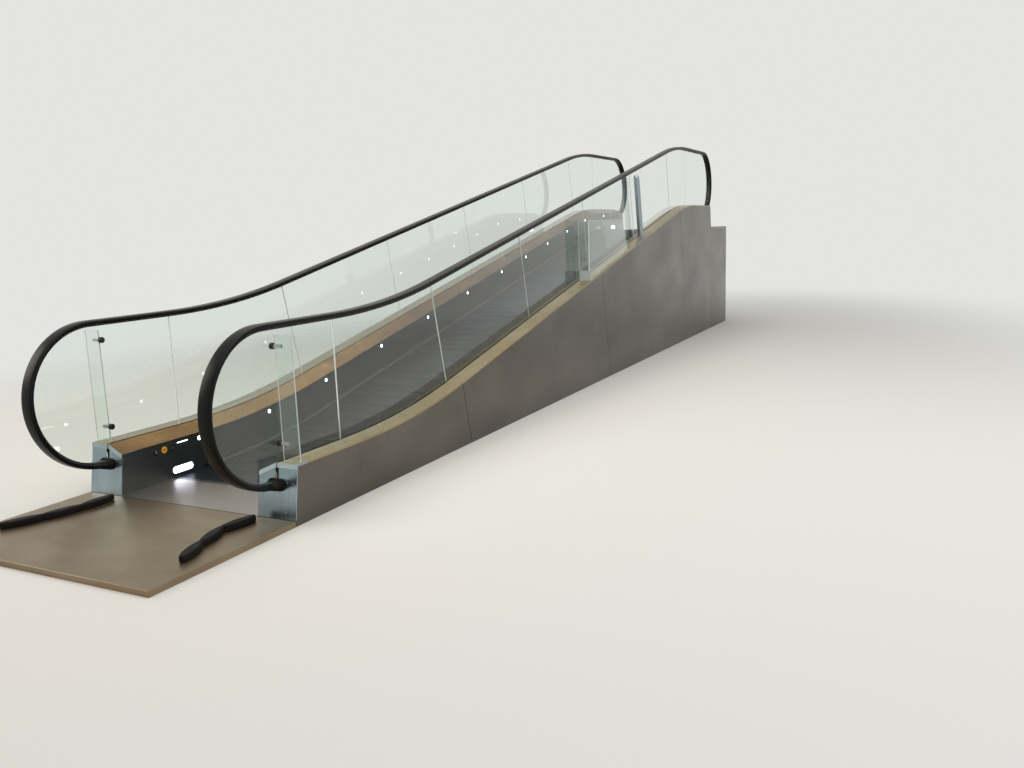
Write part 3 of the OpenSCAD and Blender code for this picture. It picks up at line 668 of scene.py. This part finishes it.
# Floor plates and rubber guides
def floor_plates():
    """Plates in front of both combs, with shallow grooves across the travel that use has worn soft."""
    front, back, pitch = -0.925, -0.0008, 0.013
    edge, seal, seal_foot = 0.0008, 0.006, 0.0058
    wide, narrow, low = 0.0028, 0.0012, -0.0002
    count = int((back - front - pitch) / pitch)
    first = front + (back - front - count * pitch) / 2
    outline = [(front, -FLOOR), (front, -edge), (front + edge, 0)]
    for i in range(count):
        middle = first + (i + 0.5) * pitch
        outline += [(middle - wide, 0), (middle - narrow, low), (middle + narrow, low), (middle + wide, 0)]
    outline += [(back - seal, 0), (back - seal_foot, low), (back, low), (back, -FLOOR)]
    plate = ring(outline, lambda y, z: (-HALF_W, y, z))
    push(2 * HALF_W)
    done()
    close_up(plate)
    smooth(plate)
    wear(plate, "floor", "rubber")
    # a black seal lies along the comb plate; its dark line is painted shade of the joint there
    paint(plate, 1, lambda f: f.center.y > back - seal)
    for end in ENDS:
        obj = copies(plate, [at_landing(end, 1)], f"{end}_floor_plate_sheet", keep=True)
        show(obj, "floor_steel", f"{end}_floor_plate")
    bpy.data.objects.remove(plate)


def guide_outline(x, y, turns, length):
    """Outline of lobes that run into each other at narrow waists; each turns away from the travel."""
    waist, belly, steps = 0.0115, 0.0155, 12
    right, left = [], []
    for i, degrees in enumerate(turns):
        a = math.radians(degrees)
        last = i == len(turns) - 1
        for step in range(steps + 1 if last else steps):
            t = step / steps
            half = waist + belly * (1 - (2 * t - 1) ** 2)
            place = (x + t * length * math.sin(a), y - t * length * math.cos(a))
            right.append((place[0] + half * math.cos(a), place[1] + half * math.sin(a)))
            left.append((place[0] - half * math.cos(a), place[1] - half * math.sin(a)))
        x += length * math.sin(a)
        y -= length * math.cos(a)
    return right + left[::-1]


def floor_guides():
    """Moulded rubber guides on both sides of the way in, with rounded shoulders."""
    starts = {"left": (-0.012, (1, 15, 24)), "right": (0.040, (-9, 17, 20))}
    lead, lobe, height, shoulder = 0.062, 0.201, 0.034, 0.008
    for word, side in SIDES:
        out, turns = starts[word]
        outline = guide_outline(SKIRT_X + out, FRONT_LOW - lead, turns, lobe)
        obj = ring(outline, lambda x, y: (side * x, y, FLOOR))
        bpy.ops.mesh.edge_face_add()
        push(0, 0, height)
        done()
        close_up(obj, caps=False)
        soften(obj, shoulder, 4, 50)
        keep_flat(obj)
        wear(named(obj, f"{word}_floor_guide_lobes"), "rubber")
        show(obj, "black_rubber", f"{word}_floor_guides")


# Screws
def screw_model(radius):
    """Countersunk screw with its head just above z = 0 and a round drive recess."""
    edge, crown = radius * 0.12, 0.0003
    land, recess = radius * 0.42, 0.0012
    obj = disc(radius, thick=0.002, middle=-0.0006, corners=16)
    edit(obj, looks_up)
    bpy.ops.mesh.inset(thickness=edge, depth=crown)
    bpy.ops.mesh.inset(thickness=land)
    push(0, 0, -recess)
    done()
    smooth(obj)
    return wear(obj, "trim")


def front_screws():
    """Two screws in each half of every front sheet, and two in the outer strip."""
    radius, sunk = 0.0045, 0.0003
    places = []
    for end in ENDS:
        for _, side in SIDES:
            for x in (SKIRT_X + 0.016, 0.690, 0.726):
                for h in (0.035, 0.185):
                    place = Matrix.Translation((x, front_y(h) - sunk, h))
                    tilted = place @ Matrix.Rotation(math.pi / 2 - LEAN, 4, "X")
                    places.append(at_landing(end, side) @ tilted)
    show(copies(screw_model(radius), places, "front_sheet_screws"), "guide_steel")


def comb_screws():
    """Two screws in each of the five parts of both combs."""
    radius, parts, lead = 0.0055, 5, 0.032
    part = 2 * SKIRT_X / parts
    places = []
    for end in ENDS:
        for i in range(parts):
            for share in (0.25, 0.75):
                place = (-SKIRT_X + (i + share) * part, COMB - TOOTH - lead, 0)
                places.append(at_landing(end, 1) @ Matrix.Translation(place))
    show(copies(screw_model(radius), places, "comb_screws"), "guide_steel")


# Rubber flange and bellows where each handrail enters the base
def stadium(width, height, corners=32):
    """Oval with round ends, as x and height about its middle."""
    r, half = height / 2, (width - height) / 2
    points = []
    for i in range(corners):
        a = 2 * math.pi * (i + 0.5) / corners
        points.append((math.copysign(half, math.cos(a)) + r * math.cos(a), r * math.sin(a)))
    return points


# depth in front of the sheet, width and height: foot, flange, three bellows, mouth, and back inside
BOOT_STEPS = (
    (-0.003, 0.098, 0.046), (0.0003, 0.098, 0.046), (0.0003, 0.114, 0.062), (0.002, 0.116, 0.064),
    (0.010, 0.116, 0.064), (0.0135, 0.113, 0.061), (0.014, 0.110, 0.058), (0.0145, 0.100, 0.048),
    (0.019, 0.096, 0.044), (0.023, 0.096, 0.044), (0.026, 0.0975, 0.0455), (0.030, 0.0975, 0.0455),
    (0.033, 0.0935, 0.0415), (0.038, 0.0925, 0.0405), (0.041, 0.095, 0.043), (0.045, 0.095, 0.043),
    (0.048, 0.090, 0.038), (0.054, 0.089, 0.037), (0.059, 0.087, 0.035), (0.060, 0.085, 0.033),
    (0.060, 0.082, 0.030), (0.010, 0.082, 0.030),
)


def boot_model():
    """Boot of the right handrail of the lower landing."""
    face = front_y(INLET_H)
    depth, width, height = BOOT_STEPS[0]
    obj = ring(stadium(width, height), lambda x, h: (RAIL_X + x, face - depth, INLET_H + h))
    for deeper, wider, higher in BOOT_STEPS[1:]:
        push(0, depth - deeper, 0)
        widen(wider / width, 1, higher / height, (RAIL_X, face - deeper, INLET_H))
        depth, width, height = deeper, wider, higher
    done()
    face_outwards(obj)
    # the flange lies on the leaning sheet, and the lean fades so that the mouth stands upright
    full, reach = 1.4, 0.035
    for corner in obj.data.vertices:
        fade = max(0.0, min(1.0, full - (face - corner.co.y) / reach))
        corner.co.y += fade * math.tan(LEAN) * (corner.co.z - INLET_H)
    smooth(obj, 50)
    return wear(obj, "rubber")


def boots():
    model = boot_model()
    for end in ENDS:
        for word, side in SIDES:
            obj = copies(model, [at_landing(end, side)], f"{end}_{word}_inlet_boot", keep=True)
            show(obj, "black_rubber", f"{end}_{word}_inlet_collar")
    bpy.data.objects.remove(model)


def slot_gaskets():
    """Rubber lips beside the glass between each boot and its cap."""
    low, high = INLET_H + 0.030, DECK_HIGH - CAP_EDGE - 0.0015
    width, depth, off, edge = 0.006, 0.007, 0.0085, 0.0015
    lip = block((width, depth, (high - low) / math.cos(LEAN)))
    soften(lip, edge)
    wear(lip, "rubber")
    h = (low + high) / 2
    places = []
    for end in ENDS:
        for _, side in SIDES:
            for x in (-off, off):
                tilted = Matrix.Translation((RAIL_X + x, front_y(h), h)) @ Matrix.Rotation(-LEAN, 4, "X")
                places.append(at_landing(end, side) @ tilted)
    show(copies(lip, places, "front_slot_gaskets"), "black_rubber")


# Balustrade bases and decks
def deck_height(x):
    """Height of the deck's top above the pallets at a distance from the middle of the walk."""
    rise = (DECK_HIGH - DECK_LOW) * (x - SKIRT_X) / (SLOT_IN - SKIRT_X)
    return min(DECK_HIGH, DECK_LOW + rise)


def newel_bases():
    """Front sheets, with caps that wear the decks' finishes on top and their own on the rim."""
    level, top, rim = 0.8, 0.002, 0.0005
    for end in ENDS:
        for word, side in SIDES:
            obj = dress(f"{end}_{word}_newel_base", SHEET_EDGE)
            wear(obj, "front", "cap", "inner_deck", "outer_deck")
            back = at_landing(end, side).inverted()
            for face in obj.data.polygons:
                place = back @ face.center
                if face.normal.z > level and place.z > deck_height(place.x) - top:
                    face.material_index = 2 if place.x < RAIL_X else 3
                elif place.z > deck_height(place.x) - CAP_EDGE - rim:
                    face.material_index = 1
            show(obj, "front_steel", f"{end}_{word}_newel_base")


def decks():
    """Inner and outer decks in lengths, with rolled edges and a hairline at each joint."""
    roll, nose, fold = 0.0015, 0.0012, 0.012
    cap_gap, hairline = 0.0006, 0.0004
    inner = [
        (SKIRT_X, DECK_LOW - DECK_T), (SKIRT_X, DECK_LOW - roll), (SKIRT_X + 0.001, DECK_LOW),
        (SLOT_IN - roll, DECK_HIGH - 0.0005), (SLOT_IN, DECK_HIGH - 0.002), (SLOT_IN, DECK_HIGH - DECK_T),
        (SKIRT_X + 0.005, DECK_LOW - DECK_T),
    ]
    outer = [
        (SLOT_OUT, DECK_HIGH - DECK_T), (SLOT_OUT, DECK_HIGH - roll), (SLOT_OUT + roll, DECK_HIGH),
        (HALF_W - DECK_T, DECK_HIGH), (HALF_W - nose, DECK_HIGH - nose), (HALF_W, DECK_HIGH - DECK_T),
        (HALF_W, DECK_HIGH - fold), (HALF_W - DECK_T, DECK_HIGH - fold),
        (HALF_W - DECK_T, DECK_HIGH - DECK_T),
    ]
    ends = [S_LOW + CAP + cap_gap, S1, (S1 + S2) / 2, S2, S_HIGH - CAP - cap_gap]
    for word, side in SIDES:
        for kind, outline in (("inner", inner), ("outer", outer)):
            lengths = []
            for first, last in zip(ends, ends[1:]):
                lengths.append(run_piece(outline, side, first + hairline, last - hairline))
            obj = join(lengths, f"{word}_{kind}_deck_sheets")
            smooth(obj, 25)
            wear(obj, f"{kind}_deck")
            show(obj, "deck_steel", f"{word}_{kind}_deck")


def glass_gaskets():
    """Black lips that seal the slots between the decks and the glass."""
    near, far, edge, lead = 0.0002, 0.0029, 0.0006, 0.054
    foot, shoulder, top = DECK_HIGH - 0.006, DECK_HIGH + 0.001, DECK_HIGH + 0.0018
    for word, side in SIDES:
        lips = []
        for x0, x1 in ((SLOT_IN + near, SLOT_IN + far), (SLOT_OUT - far, SLOT_OUT - near)):
            outline = [
                (x0, foot), (x0, shoulder), (x0 + edge, top),
                (x1 - edge, top), (x1, shoulder), (x1, foot),
            ]
            lips.append(run_piece(outline, side, S_LOW + lead, S_HIGH - lead))
        obj = join(lips, f"{word}_glass_gaskets")
        smooth(obj)
        wear(obj, "rubber")
        show(obj, "black_rubber")


def pane_joints():
    """Pale strips in the joints between the panes, from the deck to the handrail guide, whose paleness is a
    painted highlight of the glass edges.
    """
    low, high = DECK_HIGH + 0.002, RAIL_H - RAIL_D - 0.008
    proud, width, panes = 0.0012, 0.0048, 4
    border, bulge = 0.0012, 0.0004
    strip = block((GLASS_T + proud, width, high - low), (0, 0, (low + high) / 2))
    edit(strip, lambda f: abs(f.normal.x) > FACING)
    bpy.ops.mesh.inset(thickness=border, depth=bulge)
    done()
    wear(strip, "joint")
    stations = [0.0] + [S1 + (S2 - S1) * i / panes for i in range(panes + 1)] + [S3]
    places = [on_line(s, side * RAIL_X) for _, side in SIDES for s in stations]
    show(copies(strip, places, "pane_joint_strips"), "glass")


# Skirt brushes: a carrier with rounded ends and tufts of bristle
def tuft_model():
    """Tuft that is thick at its root on the carrier and thins towards the pallets."""
    # distance from the skirt, and heights of the lower and the upper corners
    root, tip, flare = (-0.008, 0.014, 0.025), (-0.0215, 0.0045, 0.0062), 1.25
    obj = block((0.018, 0.0036, 0.009))
    for corner in obj.data.vertices:
        at_root = corner.co.x > 0
        x, low, high = root if at_root else tip
        corner.co.x = x
        corner.co.z = high if corner.co.z > 0 else low
        if not at_root:
            corner.co.y *= flare
    wear(obj, "rubber", "bristle")
    paint(obj, 1)
    return obj


def skirt_brushes():
    carrier = [
        (SKIRT_X, 0.012), (SKIRT_X - 0.005, 0.0105), (SKIRT_X - 0.008, 0.013), (SKIRT_X - 0.010, 0.019),
        (SKIRT_X - 0.010, 0.026), (SKIRT_X - 0.008, 0.0295), (SKIRT_X - 0.004, 0.030), (SKIRT_X, 0.026),
    ]
    lead, nose, pitch, high, near = 0.185, 0.022, 0.0045, 0.02, 1e-3
    first, last = S_LOW + COMB + lead, S_HIGH - COMB - lead
    count = int((last - first - 2 * nose) / pitch)
    tuft = tuft_model()
    for word, side in SIDES:
        bar = run_piece(carrier, side, first + nose, last - nose)
        for start, way in ((first + nose, -1), (last - nose, 1)):
            y, z = line_at(start)[1:]
            middle = Vector((side * SKIRT_X, y, z + high))
            edit(bar, lambda f: abs(f.normal.y) > FACING and abs(f.center.y - y) < near)
            for share, scale in ((0.5, 0.85), (0.35, 0.7), (0.15, 0.5)):
                push(0, way * nose * share, 0)
                middle.y += way * nose * share
                widen(scale, 1, scale, middle)
            done()
        wear(bar, "rubber", "bristle")
        outwards = Matrix.Scale(side, 4, (1, 0, 0)) @ Matrix.Translation((SKIRT_X, 0, 0))
        places = [on_line(first + nose + (i + 0.5) * pitch) @ outwards for i in range(count)]
        obj = join([bar, copies(tuft, places, "tufts", keep=True)], f"{word}_skirt_brush_bristles")
        smooth(obj)
        show(obj, "brush_bristle", f"{word}_skirt_brush")
    bpy.data.objects.remove(tuft)


# Lights on the skirts: rises as shares of a light's height, each with the scale that follows it
RIM_W = 1.12
RIM_STEPS = ((0.6, 1.0), (0.1, 0.96), (0.0, 0.93), (-0.35, 1.0))
LENS_FOOT = 0.2
LENS_STEPS = ((0.35, 0.97), (0.25, 0.85), (0.15, 0.6), (0.05, 0.4))


def raise_ring(high, steps):
    for rise, scale in steps:
        push(0, 0, high * rise)
        widen(scale, scale, 1)


def lens_model(outline, high):
    """Rim and domed lens on z = 0, from the outline of the lens and its height over the skirt."""
    rim = ring(outline, lambda x, y: (RIM_W * x, RIM_W * y, 0))
    raise_ring(high, RIM_STEPS)
    done()
    face_outwards(rim)
    smooth(rim)
    wear(rim, "trim", "lens")
    lens = ring(outline, lambda x, y: (x, y, high * LENS_FOOT))
    raise_ring(high, LENS_STEPS)
    bpy.ops.mesh.fill()
    done()
    face_outwards(lens)
    smooth(lens)
    wear(lens, "trim", "lens")
    paint(lens, 1)
    return join([rim, lens], "light")


def light_stations():
    """The spots are evenly spaced on each of four lengths of skirt."""
    marks = [S_LOW + COMB + 0.160, S1 + 0.113, (S1 + S2) / 2 + 0.388, S2 + 0.063, S_HIGH - COMB - 0.360]
    pitches = (0.660, 0.765, 0.612, 0.670)
    stations = []
    for first, last, pitch in zip(marks, marks[1:], pitches):
        count = round((last - first) / pitch)
        stations += [first + (last - first) * i / count for i in range(count)]
    return stations + [marks[-1]]


def skirt_lights():
    """Round spots in a row, an oval light at each comb, and a thin bar above the lower one."""
    spot = lens_model(stadium(0.0268, 0.0266, 24), 0.002)
    oval = lens_model(stadium(0.160, 0.041, 32), 0.003)
    bar = lens_model(stadium(0.0835, 0.0052, 16), 0.002)
    along = Matrix.Rotation(math.pi / 2, 4, "Z")
    behind, bar_behind, bar_above = 0.010, 0.0235, 0.010
    ovals_at = (S_LOW + COMB + behind, S_HIGH - COMB - behind)
    for word, side in SIDES:
        rows = (
            (spot, [on_skirt(side, s, LIGHT_H) for s in light_stations()]),
            (oval, [on_skirt(side, s, COMB_LIGHT_H) @ along for s in ovals_at]),
            (bar, [on_skirt(side, S_LOW + COMB + bar_behind, LIGHT_H + bar_above) @ along]),
        )
        made = [copies(model, places, "lights", keep=True) for model, places in rows]
        show(join(made, f"{word}_skirt_lenses"), "lamp_lens", f"{word}_skirt_lights")
    for model in (spot, oval, bar):
        bpy.data.objects.remove(model)


# Round switches on the skirts
def sink(obj, rims, sunk, edge):
    """Sinks the upper face of a disc inside its rims."""
    edit(obj, looks_up)
    for rim in rims:
        bpy.ops.mesh.inset(thickness=rim)
    push(0, 0, -sunk)
    done()
    soften(obj, edge, 1)


def switch_model(ring_kind, core_kind):
    """Ring with a sunk face and a core in it, 3 mm proud of z = 0."""
    body = disc(radius=0.020, thick=0.003, middle=0.0015, corners=32)
    sink(body, rims=(0.0012, 0.0055), sunk=0.0016, edge=0.0004)
    wear(body, ring_kind, core_kind)
    core = disc(radius=0.0095, thick=0.0024, middle=0.0016, corners=24)
    sink(core, rims=(0.003,), sunk=0.0008, edge=0.0003)
    wear(core, ring_kind, core_kind)
    paint(core, 1)
    return join([body, core], "switch")


def on_both_skirts(lead):
    """Places at the switches' height, at a distance from the balustrade's front at all four ends."""
    return [on_skirt(side, s, SWITCH_H) for _, side in SIDES for s in (S_LOW + lead, S_HIGH - lead)]


def switches():
    """From the comb out: a key switch, a yellow button and a bright one, with one screw after them."""
    kinds = (
        ("black_plastic", "dull_steel"),
        ("yellow_plastic", "orange_plastic"),
        ("black_plastic", "trim"),
    )
    lead, pitch, screw_at, screw_r = 0.056, 0.062, 0.178, 0.005
    made = []
    for i, (ring_kind, core_kind) in enumerate(kinds):
        places = on_both_skirts(COMB - lead - i * pitch)
        made.append(copies(switch_model(ring_kind, core_kind), places, "switches"))
    show(join(made, "skirt_switch_set"), "switch_plastic", "skirt_switches")
    obj = copies(screw_model(screw_r), on_both_skirts(screw_at), "skirt_screws")
    wear(obj, "black_plastic")
    show(obj, "switch_plastic")


# Pieces of the CAD model with their edges broken
PANE_EDGE_AREA = 0.02


def dressed(node, width, slot, *finishes):
    obj = dress(node, width)
    wear(obj, *finishes)
    show(obj, slot, node)
    return obj


def dressed_panes(node):
    """Panes whose narrow faces are ground edges, pale with a painted highlight."""
    obj = dressed(node, PANE_EDGE, "glass", "glass", "glass_edge")
    paint(obj, 1, lambda f: f.area < PANE_EDGE_AREA)


def dressed_pieces():
    for word, _ in SIDES:
        dressed(f"{word}_cladding", SHEET_EDGE, "cladding_steel", "cladding")
        dressed_panes(f"{word}_barrier_glass")
        clamps = dressed(f"{word}_barrier_clamps", PANE_EDGE, "guide_steel", "trim", "black_plastic")
        # the plastic pads of a clamp lie against the glass
        pads_end = RAIL_X + GLASS_T / 2 + 0.0062
        paint(clamps, 1, lambda f: abs(f.center.x) < pads_end)
    dressed("upper_end_wall", SHEET_EDGE, "cladding_steel", "cladding")
    dressed_panes("climb_panel")
    dressed("climb_panel_shoe", PART_EDGE, "guide_steel", "trim")
    dressed("stop_post", PART_EDGE, "guide_steel", "post")


# CAD pieces that stay as they are, with their finishes
STAYING = {
    "truss_housing": "truss",
    "lower_comb_plate": "comb", "upper_comb_plate": "comb", "left_skirt": "skirt", "right_skirt": "skirt",
    "left_glass_clamp": "trim", "right_glass_clamp": "trim", "left_glass": "glass", "right_glass": "glass",
    "left_handrail_guide": "guide", "right_handrail_guide": "guide",
}


def finish_staying():
    for node, kind in STAYING.items():
        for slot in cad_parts[node].material_slots:
            slot.link = "OBJECT"
            slot.material = FINISH[kind]


handrails()
pallet_band()
floor_plates()
floor_guides()
front_screws()
comb_screws()
boots()
slot_gaskets()
newel_bases()
decks()
glass_gaskets()
pane_joints()
skirt_brushes()
skirt_lights()
switches()
dressed_pieces()
finish_staying()


# Camera, lamps, backdrop and floor
def camera():
    """The photograph's viewpoint, as found from its vanishing points."""
    obj = bpy.data.objects.new("camera", bpy.data.cameras.new("camera"))
    obj.location = (3.6368, -7.6607, 1.4454)
    obj.rotation_euler = (math.radians(79.931), math.radians(2.006), math.radians(26.120))
    obj.data.lens = 30.668
    obj.data.sensor_width = 36
    obj.data.clip_end = 200
    bpy.context.scene.collection.objects.link(obj)
    bpy.context.scene.camera = obj


def lamp(name, place, target, size, watts, colour):
    """A rectangular soft lamp that looks at a target."""
    light = bpy.data.lights.new(name, "AREA")
    light.shape = "RECTANGLE"
    light.size, light.size_y = size
    light.energy = watts
    light.color = linear(colour)[:3]
    obj = bpy.data.objects.new(name, light)
    obj.location = place
    aim = Vector(target) - Vector(place)
    obj.rotation_euler = aim.to_track_quat("-Z", "Y").to_euler()
    bpy.context.scene.collection.objects.link(obj)


def backdrop():
    """Even light from all round, and a pale backdrop for the camera, for gloss and through glass."""
    world = bpy.data.worlds.new("studio")
    bpy.context.scene.world = world
    world.use_nodes = True
    tree = world.node_tree
    path = put(tree, "ShaderNodeLightPath")
    seen = put(tree, "ShaderNodeMath", {"operation": "MAXIMUM"},
               {0: path.outputs["Is Camera Ray"], 1: path.outputs["Is Transmission Ray"]})
    either = put(tree, "ShaderNodeMath", {"operation": "MAXIMUM"},
                 {0: seen.outputs[0], 1: path.outputs["Is Glossy Ray"]})
    around = put(tree, "ShaderNodeBackground", sockets={"Color": linear("#d5d8da"), "Strength": 0.55})
    behind = put(tree, "ShaderNodeBackground", sockets={"Color": linear("#e4e4e1"), "Strength": 1.0})
    sockets = {0: either.outputs[0], 1: around.outputs[0], 2: behind.outputs[0]}
    both = put(tree, "ShaderNodeMixShader", sockets=sockets)
    tree.links.new(both.outputs[0], tree.nodes["World Output"].inputs["Surface"])


def studio_floor():
    """Pale matt floor that fades into the backdrop far from the machine, farther off along the travel."""
    size, narrowing, near, far = 60, 0.55, 2.6, 7.0
    bpy.ops.object.select_all(action="DESELECT")
    bpy.ops.mesh.primitive_plane_add(size=size, location=ORIGIN)
    obj = named(bpy.context.active_object, "studio_floor")
    made, tree, shader = finish("studio_floor", "#dcdbd8", 0.0, 0.8)
    place = put(tree, "ShaderNodeTexCoord").outputs["Object"]
    shorter = put(tree, "ShaderNodeMapping", sockets={"Vector": place, "Scale": (1.0, narrowing, 1.0)})
    away = put(tree, "ShaderNodeVectorMath", {"operation": "LENGTH"}, {0: shorter.outputs["Vector"]})
    sockets = {"Value": away.outputs["Value"], "From Min": near, "From Max": far}
    fade = put(tree, "ShaderNodeMapRange", {"interpolation_type": "SMOOTHSTEP"}, sockets)
    clear = put(tree, "ShaderNodeBsdfTransparent")
    sockets = {0: fade.outputs["Result"], 1: shader.outputs[0], 2: clear.outputs[0]}
    mixed = put(tree, "ShaderNodeMixShader", sockets=sockets)
    tree.links.new(mixed.outputs[0], tree.nodes["Material Output"].inputs["Surface"])
    obj.data.materials.append(made)


camera()
lamp("ceiling_lamp", (0.5, -1.5, 7.5), ORIGIN, (7, 12), 500, "#fff6ea")
lamp("left_lamp", (-7, -7, 4.5), (0, -1.5, 1), (4, 4), 220, "#fff4e4")
lamp("right_lamp", (8, -3, 3.5), (0, 0, 1), (4, 5), 170, "#f1f6ff")
backdrop()
studio_floor()
bpy.context.scene.view_settings.view_transform = "Standard"
